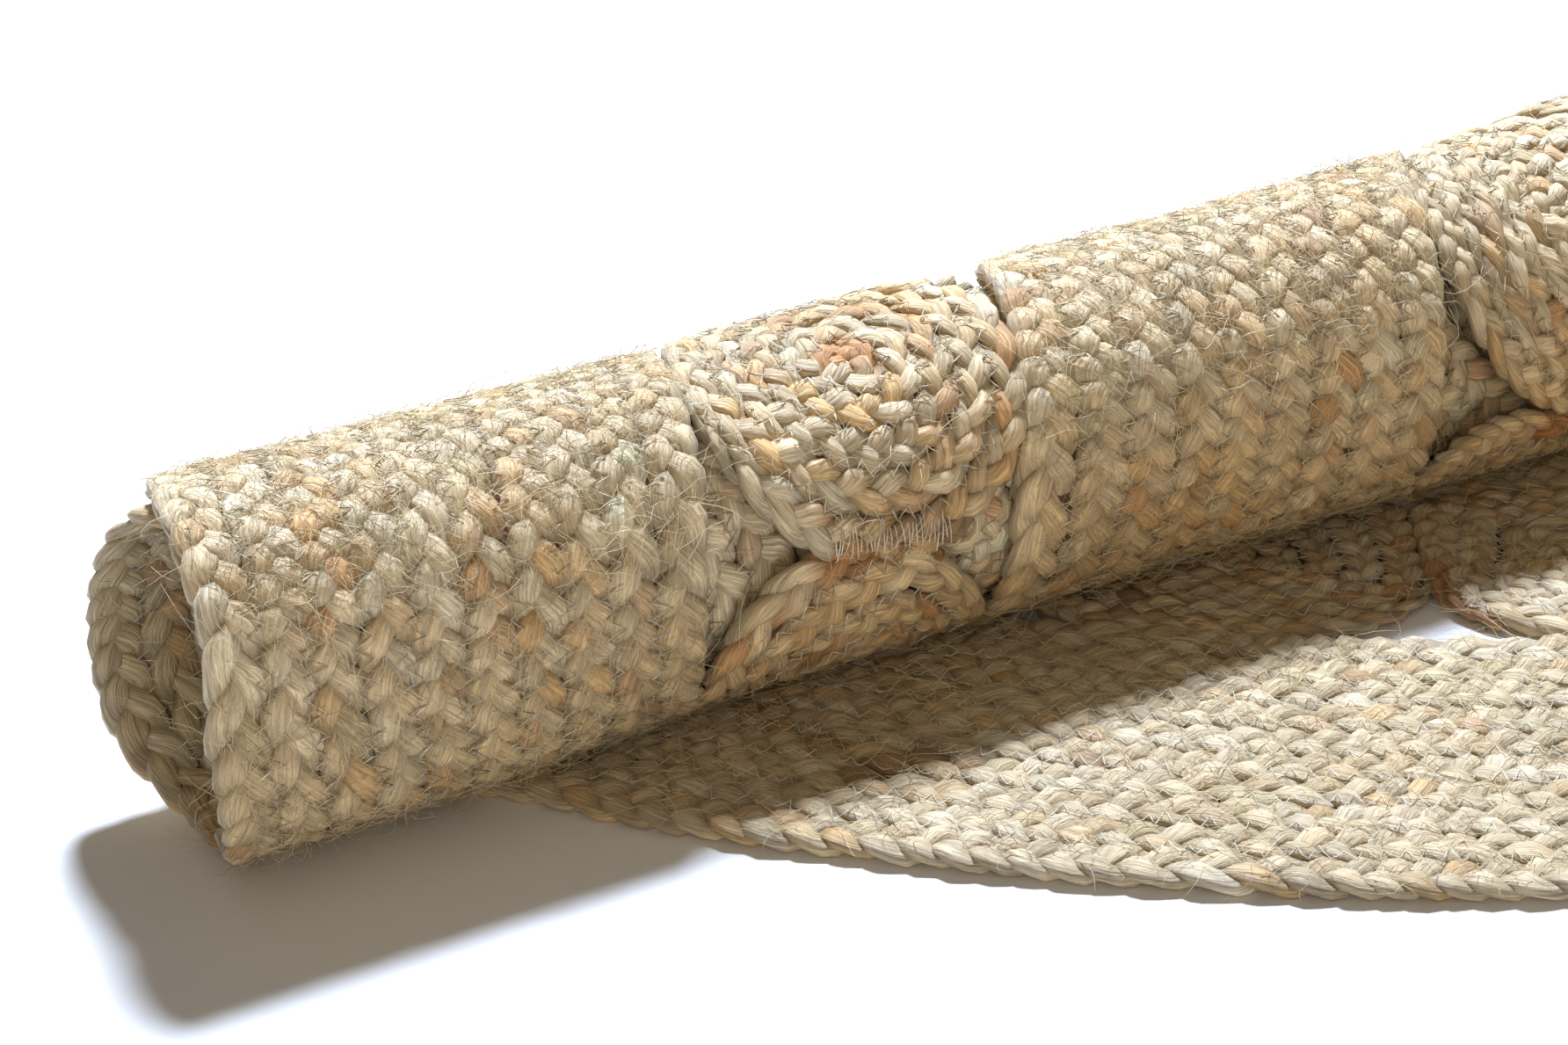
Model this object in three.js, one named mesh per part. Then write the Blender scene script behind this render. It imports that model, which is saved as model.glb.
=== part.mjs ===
// Round braided jute area rug, lying partly rolled up.
//
// The rug is sewn together from flat coils of plaited jute: a centre coil, a ring of small
// rosettes, a wide band, a second ring of larger rosettes and a wide border. Each coil or
// rosette is one piece. The finished rug is laid flat at its front and rolled up from its back.
//
// Units are millimetres, +Z is up and X runs along the roll's axis. The flat front of the rug
// points toward -Y. The origin is on the floor, below the middle of the bounding box.

import * as THREE from 'three';

// ---- Driving dimensions -------------------------------------------------------------------

const RUG_RADIUS = 610;            // 4 ft round rug
const THICKNESS = 6.2;             // pressed thickness of the plaited jute
const SEAM_GAP = 0.3;              // between two pieces that are sewn edge to edge

const BORDER_ROUNDS = 10;          // plaits side by side in the border
const BORDER_PLAIT = 13.8;         // width of one border plait
const BAND_ROUNDS = 9;             // plaits side by side in the band
const BAND_PLAIT = 13.33;          // width of one band plait

const OUTER_ROSETTE_DEPTH = 96;    // measured along the rug's radius
const OUTER_ROSETTE_WIDTH = 106.5; // measured around the rug, sets the number of rosettes
const OUTER_ROSETTE_START = 12;    // degrees, first rosette from +X
const INNER_ROSETTE_DEPTH = 97;
const INNER_ROSETTE_WIDTH = 100;
const INNER_ROSETTE_START = 21.35;
const ROSETTE_SQUARENESS = 2.35;   // 2 is a plain ellipse, more is squashed against neighbours
const ROSETTE_CROWDING = 1.03;     // width before it is squashed, against the room it has

const FLAT_LENGTH = 311;           // of the rug lies flat, in front of the roll's floor line
const CORE_RADIUS = 14;            // middle of the sheet at the innermost turn of the roll
const TURN_GAP = 0.3;              // between two turns of the roll

const FACET_ANGLE = 18;            // degrees of roll in one flat facet
const LEAST_FACET = 0.3;           // share of a facet; a shorter last one joins the one before
const END_CUT = 0.06;              // height left off where an outline closes to a point
const LEAST_STEP = 0.5;            // between two lines that only round an outline off
const LEAST_END_STEP = 0.05;       // between an outline's end and the next corner of the sheet

const CIRCLE_POINTS = 720;
const ROSETTE_POINTS = 120;
const COIL_LINES = 72;             // that round a wide coil off, from its front to its back
const CENTRE_LINES = 24;
const ROSETTE_LINES = 10;

// ---- Sizes that follow --------------------------------------------------------------------

const BORDER_INNER = RUG_RADIUS - BORDER_ROUNDS * BORDER_PLAIT;
const BAND_OUTER = BORDER_INNER - OUTER_ROSETTE_DEPTH;
const BAND_INNER = BAND_OUTER - BAND_ROUNDS * BAND_PLAIT;
const CENTRE_RADIUS = BAND_INNER - INNER_ROSETTE_DEPTH;

const ROLLED_LENGTH = 2 * RUG_RADIUS - FLAT_LENGTH;
const TURN_PITCH = THICKNESS + TURN_GAP;
const PITCH_PER_RADIAN = TURN_PITCH / (2 * Math.PI);
const ROLL_RADIUS = Math.sqrt(CORE_RADIUS ** 2 + 2 * PITCH_PER_RADIAN * ROLLED_LENGTH);
const AXIS_HEIGHT = THICKNESS / 2 + ROLL_RADIUS;

// Distance of the rug's centre behind the line where the roll touches the floor.
const CENTRE_OFFSET = RUG_RADIUS - FLAT_LENGTH;

// ---- The rolled sheet ---------------------------------------------------------------------

// Angle of roll at which the given length of the sheet has been wound up.
function windingAngle(length) {
  const inside = ROLL_RADIUS ** 2 - 2 * PITCH_PER_RADIAN * length;
  return (ROLL_RADIUS - Math.sqrt(Math.max(inside, 0))) / PITCH_PER_RADIAN;
}

function woundLength(angle) {
  return ROLL_RADIUS * angle - PITCH_PER_RADIAN * angle * angle / 2;
}

// Corners of the sheet's middle line in the YZ plane, each with its length along the sheet.
function sheetCorners() {
  const corners = [{ s: -FLAT_LENGTH, y: -FLAT_LENGTH, z: THICKNESS / 2 }];
  const step = THREE.MathUtils.degToRad(FACET_ANGLE);
  const lastAngle = windingAngle(ROLLED_LENGTH);
  const facets = Math.max(1, Math.ceil(lastAngle / step - LEAST_FACET));
  for (let i = 0; i <= facets; i++) {
    const angle = Math.min(i * step, lastAngle);
    const radius = ROLL_RADIUS - PITCH_PER_RADIAN * angle;
    corners.push({
      s: i === facets ? ROLLED_LENGTH : woundLength(angle),
      y: radius * Math.sin(angle),
      z: AXIS_HEIGHT - radius * Math.cos(angle),
    });
  }
  return corners;
}

// Unit normal of the facet that starts at corner i, on the side that faces up where it is flat.
function facetNormal(corners, i) {
  const a = corners[i];
  const b = corners[i + 1];
  return new THREE.Vector2(a.z - b.z, b.y - a.y).normalize();
}

// Adds the upper and lower face of the sheet at every corner, mitred between its facets.
function thickenSheet(corners) {
  const last = corners.length - 1;
  corners.forEach((corner, i) => {
    const before = facetNormal(corners, Math.max(i - 1, 0));
    const after = facetNormal(corners, Math.min(i, last - 1));
    const mitre = before.clone().add(after).normalize();
    mitre.multiplyScalar(THICKNESS / 2 / mitre.dot(after));
    corner.upper = new THREE.Vector2(corner.y + mitre.x, corner.z + mitre.y);
    corner.lower = new THREE.Vector2(corner.y - mitre.x, corner.z - mitre.y);
  });
  return corners;
}

const SHEET = thickenSheet(sheetCorners());

// Point of the sheet: x across the rug, s along it from the floor line, on one of its faces.
function sheetPoint(x, s, face) {
  let i = 0;
  while (i < SHEET.length - 2 && s > SHEET[i + 1].s) i++;
  const a = SHEET[i];
  const b = SHEET[i + 1];
  const yz = a[face].clone().lerp(b[face], (s - a.s) / (b.s - a.s));
  return [x, yz.x, yz.y];
}

// ---- Outlines on the flat rug -------------------------------------------------------------

// A closed convex outline in the flat rug's own plane: x across, q forward from its centre.
class Outline {
  constructor(points) {
    this.points = points;
    this.low = Math.min(...points.map((p) => p.y)) + END_CUT;
    this.high = Math.max(...points.map((p) => p.y)) - END_CUT;
  }

  // Left and right end of the outline on the line q.
  span(q) {
    let left = Infinity;
    let right = -Infinity;
    this.points.forEach((a, i) => {
      const b = this.points[(i + 1) % this.points.length];
      if ((a.y > q) === (b.y > q)) return;
      const x = a.x + (b.x - a.x) * (q - a.y) / (b.y - a.y);
      left = Math.min(left, x);
      right = Math.max(right, x);
    });
    return [left, right];
  }

  // Lines that the outline needs to look round, closer together near its two ends.
  levels(count) {
    const middle = (this.low + this.high) / 2;
    const half = (this.high - this.low) / 2;
    const list = [];
    for (let i = 0; i <= count; i++) list.push(middle - half * Math.cos(Math.PI * i / count));
    return list;
  }
}

function circle(radius) {
  const points = [];
  for (let i = 0; i < CIRCLE_POINTS; i++) {
    const angle = 2 * Math.PI * (i + 0.5) / CIRCLE_POINTS;
    points.push(new THREE.Vector2(radius * Math.cos(angle), radius * Math.sin(angle)));
  }
  return new Outline(points);
}

// A rosette: a rounded oval that is squashed flat where it meets the rosettes beside it.
function rosette(ringRadius, depth, width, angle, share) {
  const points = [];
  const power = 2 / ROSETTE_SQUARENESS;
  const limit = Math.tan(share / 2);
  for (let i = 0; i < ROSETTE_POINTS; i++) {
    const t = 2 * Math.PI * (i + 0.5) / ROSETTE_POINTS;
    const along = Math.sign(Math.cos(t)) * Math.abs(Math.cos(t)) ** power * depth / 2;
    let across = Math.sign(Math.sin(t)) * Math.abs(Math.sin(t)) ** power * width / 2;
    const most = (ringRadius + along) * limit - SEAM_GAP / 2 / Math.cos(share / 2);
    across = THREE.MathUtils.clamp(across, -most, most);
    points.push(new THREE.Vector2(ringRadius + along, across).rotateAround(new THREE.Vector2(), angle));
  }
  return new Outline(points);
}

// ---- Solid pieces -------------------------------------------------------------------------

// Collects the triangles of one closed piece; points are shared by their place in the sheet.
class PieceBuilder {
  constructor() {
    this.positions = [];
    this.indices = [];
    this.known = new Map();
  }

  point(x, q, face) {
    const key = `${x.toFixed(5)} ${q.toFixed(5)} ${face}`;
    if (!this.known.has(key)) {
      this.known.set(key, this.positions.length / 3);
      this.positions.push(...sheetPoint(x, q + CENTRE_OFFSET, face));
    }
    return this.known.get(key);
  }

  triangle(a, b, c) {
    this.indices.push(a, b, c);
  }

  place(index) {
    return new THREE.Vector3().fromArray(this.positions, index * 3);
  }

  // A wall that twists is folded along its inner diagonal, so that it never bulges out.
  quad(a, b, c, d) {
    const first = this.place(c).sub(this.place(a));
    const second = this.place(d).sub(this.place(b));
    const outward = first.cross(second);
    const lead = this.place(a).add(this.place(c)).sub(this.place(b)).sub(this.place(d));
    if (lead.dot(outward) > 0) {
      this.triangle(a, b, d);
      this.triangle(b, c, d);
    } else {
      this.triangle(a, b, c);
      this.triangle(a, c, d);
    }
  }

  // Upper and lower face between two lines of points that run from left to right.
  faces(lowXs, lowQ, highXs, highQ) {
    let i = 0;
    let j = 0;
    while (i < lowXs.length - 1 || j < highXs.length - 1) {
      const canLow = i < lowXs.length - 1;
      const canHigh = j < highXs.length - 1;
      const useLow = canLow && (!canHigh || lowXs[i + 1] < highXs[j + 1]);
      const next = useLow ? [lowXs[i + 1], lowQ] : [highXs[j + 1], highQ];
      const corners = [[lowXs[i], lowQ], next, [highXs[j], highQ]];
      const [a, b, c] = corners.map(([x, q]) => this.point(x, q, 'upper'));
      const [d, e, f] = corners.map(([x, q]) => this.point(x, q, 'lower'));
      this.triangle(a, b, c);
      this.triangle(d, f, e);
      if (useLow) i++;
      else j++;
    }
  }

  // Wall from one edge point to the next, with the piece on the left of that direction.
  wall(xa, qa, xb, qb) {
    const a = this.point(xa, qa, 'lower');
    const b = this.point(xb, qb, 'lower');
    const c = this.point(xb, qb, 'upper');
    const d = this.point(xa, qa, 'upper');
    this.quad(a, b, c, d);
  }

  geometry() {
    const geometry = new THREE.BufferGeometry();
    geometry.setAttribute('position', new THREE.Float32BufferAttribute(this.positions, 3));
    geometry.setIndex(this.indices);
    return geometry;
  }
}

// Lines across the piece: its own ones and the sheet's corners, none too close together.
function crossLines(required, optional) {
  const lines = [...required].sort((a, b) => a - b);
  const low = lines[0];
  const high = lines[lines.length - 1];
  const corners = SHEET.map((corner) => corner.s - CENTRE_OFFSET);
  lines.push(...corners.filter((q) => q > low + LEAST_END_STEP && q < high - LEAST_END_STEP));
  for (const q of optional) {
    if (lines.every((other) => Math.abs(other - q) > LEAST_STEP)) lines.push(q);
  }
  return lines.sort((a, b) => a - b);
}

// Stretches of a line that the piece covers, inside its outline and outside its hole.
function coveredSpans(outline, hole, q, middle) {
  const [left, right] = outline.span(q);
  if (!hole || middle < hole.low || middle > hole.high) return [[left, right]];
  const [holeLeft, holeRight] = hole.span(q);
  return [[left, holeLeft], [holeRight, right]];
}

function isCovered(spans, x) {
  return spans.some(([left, right]) => x > left && x < right);
}

// Closes the piece along a line wherever only one side of that line is covered.
function endWalls(builder, q, xs, below, above) {
  for (let i = 0; i < xs.length - 1; i++) {
    const middle = (xs[i] + xs[i + 1]) / 2;
    const coveredBelow = isCovered(below, middle);
    const coveredAbove = isCovered(above, middle);
    if (coveredBelow && !coveredAbove) builder.wall(xs[i + 1], q, xs[i], q);
    if (coveredAbove && !coveredBelow) builder.wall(xs[i], q, xs[i + 1], q);
  }
}

// One piece of the rolled rug, as thick as the sheet, from its flat outline and its hole.
function pieceGeometry(outline, hole, roundness) {
  const required = [outline.low, outline.high];
  const optional = outline.levels(roundness);
  if (hole) {
    required.push(hole.low, hole.high);
    optional.push(...hole.levels(roundness));
  }
  const lines = crossLines(required, optional);
  const strips = lines.slice(0, -1).map((q, i) => {
    const middle = (q + lines[i + 1]) / 2;
    return {
      low: coveredSpans(outline, hole, q, middle),
      high: coveredSpans(outline, hole, lines[i + 1], middle),
    };
  });
  const xsOnLine = lines.map((q, i) => {
    const spans = [...(strips[i - 1]?.high ?? []), ...(strips[i]?.low ?? [])];
    return [...new Set(spans.flat())].sort((a, b) => a - b);
  });

  const builder = new PieceBuilder();
  strips.forEach((strip, i) => {
    strip.low.forEach(([left, right], n) => {
      const [highLeft, highRight] = strip.high[n];
      const lowXs = xsOnLine[i].filter((x) => x >= left && x <= right);
      const highXs = xsOnLine[i + 1].filter((x) => x >= highLeft && x <= highRight);
      builder.faces(lowXs, lines[i], highXs, lines[i + 1]);
      builder.wall(right, lines[i], highRight, lines[i + 1]);
      builder.wall(highLeft, lines[i + 1], left, lines[i]);
    });
  });
  lines.forEach((q, i) => {
    endWalls(builder, q, xsOnLine[i], strips[i - 1]?.high ?? [], strips[i]?.low ?? []);
  });
  return builder.geometry();
}

// ---- Named pieces -------------------------------------------------------------------------

const JUTE = new THREE.MeshStandardMaterial({ color: 0xc3a67c, roughness: 0.92, metalness: 0 });
const JUTE_WARM = new THREE.MeshStandardMaterial({ color: 0xb9935f, roughness: 0.92, metalness: 0 });
const JUTE_PALE = new THREE.MeshStandardMaterial({ color: 0xcbb38d, roughness: 0.9, metalness: 0 });

function namedPiece(name, geometry, material) {
  geometry.computeBoundingBox();
  const centre = geometry.boundingBox.getCenter(new THREE.Vector3());
  geometry.translate(-centre.x, -centre.y, -centre.z);
  geometry.computeVertexNormals();
  const mesh = new THREE.Mesh(geometry, material.clone());
  mesh.name = name;
  mesh.position.copy(centre);
  return mesh;
}

function rosetteRing(prefix, ringRadius, depth, width, startDegrees, material) {
  const ring = new THREE.Group();
  const count = Math.round(2 * Math.PI * ringRadius / width);
  const share = 2 * Math.PI / count;
  const start = THREE.MathUtils.degToRad(startDegrees);
  const fullWidth = 2 * ringRadius * Math.tan(share / 2) * ROSETTE_CROWDING;
  for (let i = 0; i < count; i++) {
    const outline = rosette(ringRadius, depth - 3 * SEAM_GAP, fullWidth, start + i * share, share);
    const name = `${prefix}_${String(i + 1).padStart(2, '0')}`;
    ring.add(namedPiece(name, pieceGeometry(outline, null, ROSETTE_LINES), material));
  }
  return ring;
}

const rug = new THREE.Group();
rug.name = 'braided_rug';

rug.add(namedPiece(
  'border_coil',
  pieceGeometry(circle(RUG_RADIUS), circle(BORDER_INNER), COIL_LINES),
  JUTE,
));
rug.add(namedPiece(
  'band_coil',
  pieceGeometry(circle(BAND_OUTER), circle(BAND_INNER), COIL_LINES),
  JUTE_WARM,
));
rug.add(namedPiece(
  'centre_coil',
  pieceGeometry(circle(CENTRE_RADIUS), null, CENTRE_LINES),
  JUTE,
));

rug.add(rosetteRing(
  'outer_rosette',
  BORDER_INNER - OUTER_ROSETTE_DEPTH / 2,
  OUTER_ROSETTE_DEPTH,
  OUTER_ROSETTE_WIDTH,
  OUTER_ROSETTE_START,
  JUTE_WARM,
));
rug.add(rosetteRing(
  'inner_rosette',
  CENTRE_RADIUS + INNER_ROSETTE_DEPTH / 2,
  INNER_ROSETTE_DEPTH,
  INNER_ROSETTE_WIDTH,
  INNER_ROSETTE_START,
  JUTE_PALE,
));

// The bounding box is centred on the origin.
const bounds = new THREE.Box3().setFromObject(rug);
rug.position.y = -(bounds.min.y + bounds.max.y) / 2;
rug.updateMatrixWorld(true);

export default rug;
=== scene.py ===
import math

import bpy
import numpy as np
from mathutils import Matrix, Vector


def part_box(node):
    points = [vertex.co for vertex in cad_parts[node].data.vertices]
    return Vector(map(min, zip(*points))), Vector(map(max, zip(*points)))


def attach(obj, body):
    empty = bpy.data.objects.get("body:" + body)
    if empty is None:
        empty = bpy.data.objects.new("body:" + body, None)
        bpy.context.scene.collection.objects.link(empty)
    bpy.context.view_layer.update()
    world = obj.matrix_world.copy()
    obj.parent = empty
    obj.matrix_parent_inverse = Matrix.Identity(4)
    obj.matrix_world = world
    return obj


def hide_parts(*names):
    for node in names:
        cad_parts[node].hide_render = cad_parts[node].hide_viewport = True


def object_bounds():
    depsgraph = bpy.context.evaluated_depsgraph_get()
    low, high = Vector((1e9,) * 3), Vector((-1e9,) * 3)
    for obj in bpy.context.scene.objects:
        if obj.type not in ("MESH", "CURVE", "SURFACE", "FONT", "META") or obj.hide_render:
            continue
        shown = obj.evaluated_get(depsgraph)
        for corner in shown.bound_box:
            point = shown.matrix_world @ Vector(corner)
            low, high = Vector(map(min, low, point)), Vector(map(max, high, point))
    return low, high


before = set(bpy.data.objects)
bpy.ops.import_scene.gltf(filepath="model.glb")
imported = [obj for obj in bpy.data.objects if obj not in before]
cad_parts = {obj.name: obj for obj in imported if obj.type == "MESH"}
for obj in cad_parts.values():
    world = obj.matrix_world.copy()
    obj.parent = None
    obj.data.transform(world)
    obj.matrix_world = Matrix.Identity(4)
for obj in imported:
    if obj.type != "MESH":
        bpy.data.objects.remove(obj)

# A round braided jute rug, partly rolled up. Every coil is a real three-strand plait that is
# laid out on the flat rug and then carried through the roll. Metres, same frame as the CAD.

cad_low, cad_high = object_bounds()
FLOOR_Z = cad_low.z


# ---- Sizes of the rug and the roll --------------------------------------------------------

flat_low, flat_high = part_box("outer_rosette_18")  # this rosette lies flat on the floor
THICKNESS = flat_high.z - flat_low.z
RUG_RADIUS = (cad_high.x - cad_low.x) / 2

BORDER_ROUNDS, BORDER_PLAIT = 10, 0.0138
BAND_ROUNDS, BAND_PLAIT = 9, 0.01333
ROSETTE_ROUNDS = 5
CENTRE_ROUNDS = 11

OUTER_ROSETTES, OUTER_DEPTH, OUTER_START = 25, 0.096, 12.0
INNER_ROSETTES, INNER_DEPTH, INNER_START = 13, 0.097, 21.35
SEAM_GAP = 0.0003

BORDER_INNER = RUG_RADIUS - BORDER_ROUNDS * BORDER_PLAIT
BAND_OUTER = BORDER_INNER - OUTER_DEPTH
BAND_INNER = BAND_OUTER - BAND_ROUNDS * BAND_PLAIT
CENTRE_RADIUS = BAND_INNER - INNER_DEPTH

FLAT_LENGTH = 0.311
CORE_RADIUS = 0.014
TURN_GAP = 0.0003
PITCH = (THICKNESS + TURN_GAP) / (2 * math.pi)
ROLLED_LENGTH = 2 * RUG_RADIUS - FLAT_LENGTH
ROLL_RADIUS = math.sqrt(CORE_RADIUS**2 + 2 * PITCH * ROLLED_LENGTH)
FLOOR_LINE = cad_low.y + FLAT_LENGTH
AXIS_Z = FLOOR_Z + THICKNESS / 2 + ROLL_RADIUS
CENTRE_OFFSET = RUG_RADIUS - FLAT_LENGTH
CEILING_Z = cad_high.z + 0.012  # nothing reaches above this

# ---- How the real rug strays from an even roll --------------------------------------------

# The roll's outer turn stays nearly round until it passes under the roll, where it steps in.
STEP_SHARE = 0.8
STEP_START, STEP_END = math.radians(305), math.radians(365)
MOST_TURNS, ROLL_SAMPLES = 6, 12000
# Shares by which the outer turn is spread along the roll, and the inner turns are drawn in.
# Where each starts is measured along the sheet: from the floor line, or from the first turn's
# end. FOOT_TURN is how far round from the floor, in radians, the inner turns' foot reaches.
OUTER_SPREAD, SPREAD_START, SPREAD_BLEND = 0.008, 0.06, 0.09
INNER_DRAW, DRAW_LEAD, DRAW_BLEND = 0.018, 0.075, 0.06
FOOT_DRAW, FOOT_TURN = 0.010, 0.7
# The roll's outer turn stands off where it covers the inner rosettes. For this and the next
# two, PLACE and REACH run along the roll, and ANGLE and TURN round it, in radians.
HUMP_HEIGHT, HUMP_PLACE, HUMP_REACH = 0.0075, -0.06, 0.24
HUMP_ANGLE, HUMP_TURN = math.radians(180), 1.8
# Below its open joints the inner turns lie deeper, more so until DENT_RAMP into them.
DENT_DEPTH, DENT_PLACE, DENT_REACH = 0.009, -0.17, 0.2
DENT_ANGLE, DENT_TURN, DENT_RAMP = math.radians(258), 1.6, 1.5
# The outer turn hangs out a little at the roll's left end.
FLARE, FLARE_PLACE, FLARE_BLEND = 0.0055, -0.44, 0.12
FLARE_ANGLE, FLARE_TURN = math.radians(305), 0.9
# The sheet is nowhere quite even: waves in radians per metre along the roll.
WAVE_HEIGHT, WAVE_RATE, WAVE_START, WAVE_TWIST = 0.0009, 17, 1.1, 5
# How far, about which azimuth and over how wide an angle the band is sewn wider.
BULGE, BULGE_AZIMUTH, BULGE_SPREAD = 0.026, math.radians(-172), math.radians(22)

# Rosettes bulge out a little where the roll bends them: from LIFT_START past the floor line to
# LIFT_LEAD before the first turn's end.
ROSETTE_LIFT = 0.0008
LIFT_START, LIFT_BLEND = 0.045, 0.04
LIFT_LEAD, LIFT_FADE = 0.05, 0.03
# Their spacing drifts by this many degrees, in this many waves, from this azimuth.
SPACING_DRIFT, SPACING_WAVES, SPACING_START = 0.75, 5, 199.2
# Their outlines: 2 is an ellipse, more is squashed. Their width is a share of the room they have.
OUTER_SQUARENESS, INNER_SQUARENESS, PRESSED_SQUARENESS = 2.12, 2.25, 6
OUTER_CROWDING, INNER_CROWDING = 1.03, 0.96
OUTLINE_POINTS = 721

# Corners where a rosette is pressed square against the one beside it: outward (1), inward (-1)
# or both (0) along the rug's radius, and to which side.
PRESSED_CORNERS = {
    "outer_rosette_15": [(0, 1)],
    "outer_rosette_16": [(0, -1), (-1, 1)],
    "outer_rosette_17": [(-1, -1), (-1, 1)],
    "outer_rosette_18": [(-1, -1)],
}

# ---- How a plait is laid ------------------------------------------------------------------

# As shares of its width.
STRAND_SWING = 0.342
STRAND_HALF_WIDTH = 0.298
PLAIT_PERIOD = 2.2
ROSETTE_PERIOD = 3.35
# As shares of the sheet's thickness.
STRAND_RISE = 0.175
STRAND_HALF_HEIGHT = 0.322
STRAND_SQUARENESS = 0.72  # 1 is an ellipse, less is a pressed strand
# Share of a strand's width and height where it lies below, and what lying on top adds.
WIDTH_BELOW, WIDTH_ON_TOP = 0.84, 0.22
HEIGHT_BELOW, HEIGHT_ON_TOP = 0.86, 0.16
# How unevenly it is laid: wavelength and size of each random curve. The sizes are shares,
# apart from the rise's, which is in metres.
SIDE_DRIFT = (0.12, 0.045)
CROSSING_SLIP = (0.14, 0.16)
SWING_WOBBLE = (0.05, 0.07)
RISE_WOBBLE = (0.04, 0.00022)
FATNESS = (0.028, 0.07)
RIDGES = (0.03, 0.075)
END_SIZE = 0.3  # of a plait's width, where it starts and ends
COIL_SAMPLES, JOG_SAMPLES = 400, 200  # along one round, and along the lead-in

# Share of a round in which the plait steps outward to the next round.
BORDER_JOG, BAND_JOG, CENTRE_JOG, ROSETTE_JOG = 0.02, 0.03, 0.10, 0.16
FORWARD_SHARE = 0.7  # of the rosettes are wound counter-clockwise

# Rosettes whose plait ends in an orange tip: the azimuth of the tip about the rosette's middle.
TIPS = {"outer_rosette_17": -50, "outer_rosette_13": 120, "inner_rosette_07": 150}
TIP_LENGTH = 0.045
# Length of the orange stretch at a rosette's middle.
HEARTS = {"outer_rosette_14": 0.02, "outer_rosette_17": 0.02, "inner_rosette_09": 0.02}
TIP_BLEND, TIP_STRENGTH = 0.008, 0.8

# The packed fibre inside a plait: its reach to each side as a share of the plait's width, at
# the coil's rims and elsewhere, and how many rounds from its start and its end the rims reach.
CORE_THICKNESS = 0.0014
RIM_REACH, CORE_REACH = 0.34, 0.55
INNER_RIM, OUTER_RIM = 0.95, 1.05

# ---- Stitches and loose fibres ------------------------------------------------------------

THREAD_RADIUS = 0.00015
STITCH_HEIGHT = THICKNESS * 0.5
# Zigzag: step along the seam and how uneven it is, and reach as a share of the plait's width.
STITCH_STEP, STITCH_JITTER, STITCH_REACH = 0.0027, 0.6, 0.2
REACH_LEAST, REACH_SPREAD = 0.55, 0.9
HEIGHT_LEAST, HEIGHT_SPREAD = 0.82, 0.3
UPPER_STAND, LOWER_STAND = 1.04, 1.02
END_LEVEL, SEAM_LEVEL = 0.98, 0.86
# Straight stitches side by side, where two rosettes were mended: azimuth and distance from the
# rug's middle at both ends of the row.
MENDED_FROM, MENDED_TO = (-167.3, 0.436), (-166.8, 0.399)
LADDER_STEP, LADDER_JITTER, LADDER_REACH = 0.0013, 0.5, 0.0042
LADDER_SCATTER, LADDER_LEAN, LADDER_LENGTHS = 0.0006, 0.02, (0.55, 1.15)
LADDER_BEND, LADDER_LEVELS = 0.85, (0.7, 0.98, 1.08, 0.98, 0.7)
LADDER_THICKENING = 1.2

FIBRE_RADIUS, FIBRE_SIZES, FIBRE_TAPER = 0.000085, (0.7, 1.5), 0.6
FIBRE_POINTS = 6
FIBRE_LENGTH, LENGTH_LEAST, LENGTH_SPREAD, LENGTH_MOST = 0.013, 0.35, 0.6, 1.4
FIBRE_RISE, RISE_MOST, FIBRE_ARCH = 0.0018, 2.5, (1.2, 3.0)
FIBRE_HEADING = 0.9  # radians off the plait's course
FIBRE_BEND, FIBRE_CURL, CURL_RATE = 0.35, 0.08, 7
FIBRE_SCATTER = 0.45  # of the plait's width, to either side
FIBRE_ROOT = 0.42  # of the sheet's thickness, above its middle

# Where fibres of each face grow: along the sheet from the floor line, and across for the mouth.
LAID_END, OUTSIDE_START, MOUTH_PLACE = 0.02, 0.045, 0.5

# Fewer points while working.
RING_POINTS = 10
RINGS_PER_PERIOD = 13

FIRST_SEED = 1000
ROSETTE_SEED, STITCH_SEED, FIBRE_SEED, MENDING_SEED = 100, 900, 950, 990


# ---- Camera, light and floor --------------------------------------------------------------

CAMERA_LENS, CAMERA_SENSOR = 110.9, 36  # millimetres
CAMERA_AZIMUTH, CAMERA_ELEVATION, CAMERA_DISTANCE = -33.88, 24.87, 1.388
TARGET_X, TARGET_BEHIND = -0.3616, 0.0755  # behind the roll's floor line
LIGHT_DISTANCE = 3.0


def look_from(azimuth, elevation, distance, target):
    a, e = math.radians(azimuth), math.radians(elevation)
    away = Vector((math.sin(a) * math.cos(e), -math.cos(a) * math.cos(e), math.sin(e)))
    return target + away * distance, away.to_track_quat("Z", "Y")


def place_towards(thing, azimuth, elevation, distance, target):
    thing.location, turn = look_from(azimuth, elevation, distance, target)
    thing.rotation_mode = "QUATERNION"
    thing.rotation_quaternion = turn
    bpy.context.scene.collection.objects.link(thing)


def make_camera():
    data = bpy.data.cameras.new("camera")
    data.lens, data.sensor_width = CAMERA_LENS, CAMERA_SENSOR
    camera = bpy.data.objects.new("camera", data)
    target = Vector((TARGET_X, FLOOR_LINE + TARGET_BEHIND, 0))
    place_towards(camera, CAMERA_AZIMUTH, CAMERA_ELEVATION, CAMERA_DISTANCE, target)
    bpy.context.scene.camera = camera


def make_area_light(name, azimuth, elevation, size, power, colour):
    data = bpy.data.lights.new(name, "AREA")
    data.shape, data.size, data.energy, data.color = "DISK", size, power, colour
    light = bpy.data.objects.new(name, data)
    place_towards(light, azimuth, elevation, LIGHT_DISTANCE, Vector((0, 0, 0)))


def make_world(strength, colour):
    world = bpy.data.worlds.new("studio")
    world.use_nodes = True
    background = world.node_tree.nodes["Background"]
    background.inputs["Color"].default_value = (*colour, 1)
    background.inputs["Strength"].default_value = strength
    bpy.context.scene.world = world


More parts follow.
